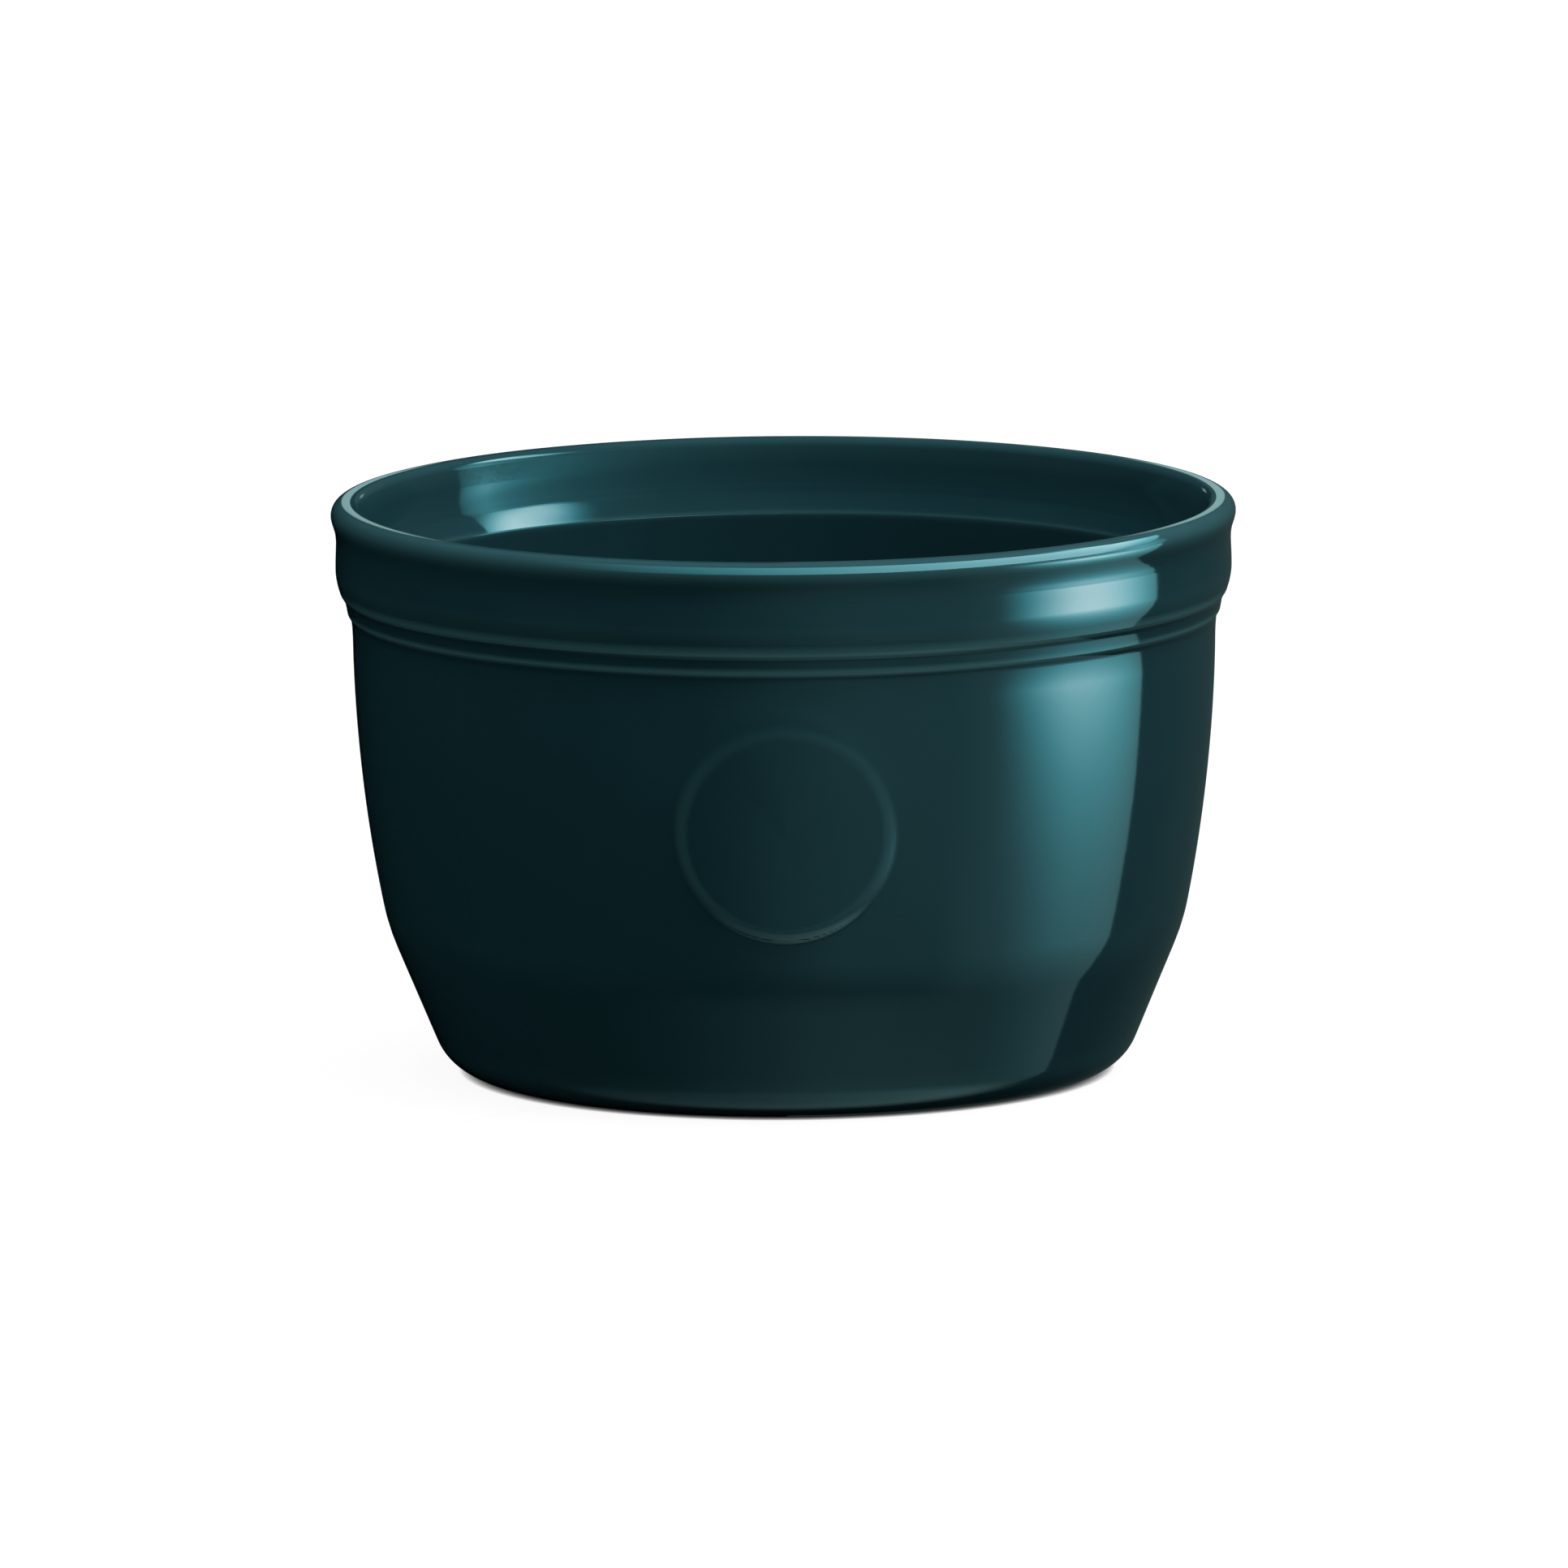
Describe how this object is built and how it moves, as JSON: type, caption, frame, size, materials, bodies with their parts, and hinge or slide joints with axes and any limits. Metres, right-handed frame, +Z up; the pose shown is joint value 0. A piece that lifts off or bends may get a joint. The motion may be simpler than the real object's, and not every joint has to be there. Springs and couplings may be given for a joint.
{
  "type": "ramekin",
  "caption": "Round glazed ceramic ramekin with a beaded rim, a stepped collar, a plain raised medallion on the front and a bare foot ring.",
  "frame": {"origin": "centre of the foot ring, on the surface that the dish stands on", "axes": "+Z up out of the mouth; the medallion on the front faces -Y"},
  "size_m": [0.105, 0.105, 0.0667],
  "materials": {
    "fired_clay": "unglazed, matt, fine grain",
    "teal_glaze": "smooth dark teal gloss glaze"
  },
  "bodies": {
    "root": {"clay_body": "fired_clay", "glaze_coat": "teal_glaze", "recess_glaze": "teal_glaze"}
  },
  "joints": []
}
